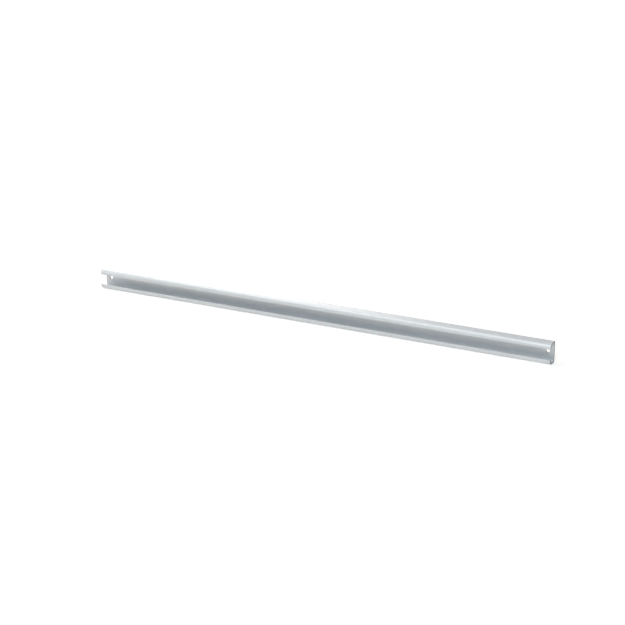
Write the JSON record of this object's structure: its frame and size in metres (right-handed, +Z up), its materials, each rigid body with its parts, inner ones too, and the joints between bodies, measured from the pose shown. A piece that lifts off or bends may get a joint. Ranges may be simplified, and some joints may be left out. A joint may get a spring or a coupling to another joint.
{
  "type": "mounting profile rail",
  "caption": "Straight C-profile mounting rail of bent zinc-coated sheet steel, with flanges that lean in slightly to an open front slot between two lips, and a round fixing hole near each end of the web.",
  "frame": {"origin": "centre of the footprint, level with the lowest line of the bend between the web and the lower flange", "axes": "+X along the rail, +Y from the slot towards the back of the web, square to the web, +Z up along the web"},
  "size_m": [0.805, 0.0186, 0.035],
  "materials": {
    "zinc_coated_steel": "satin"
  },
  "bodies": {
    "root": {"profile_rail": "zinc_coated_steel"}
  },
  "joints": []
}
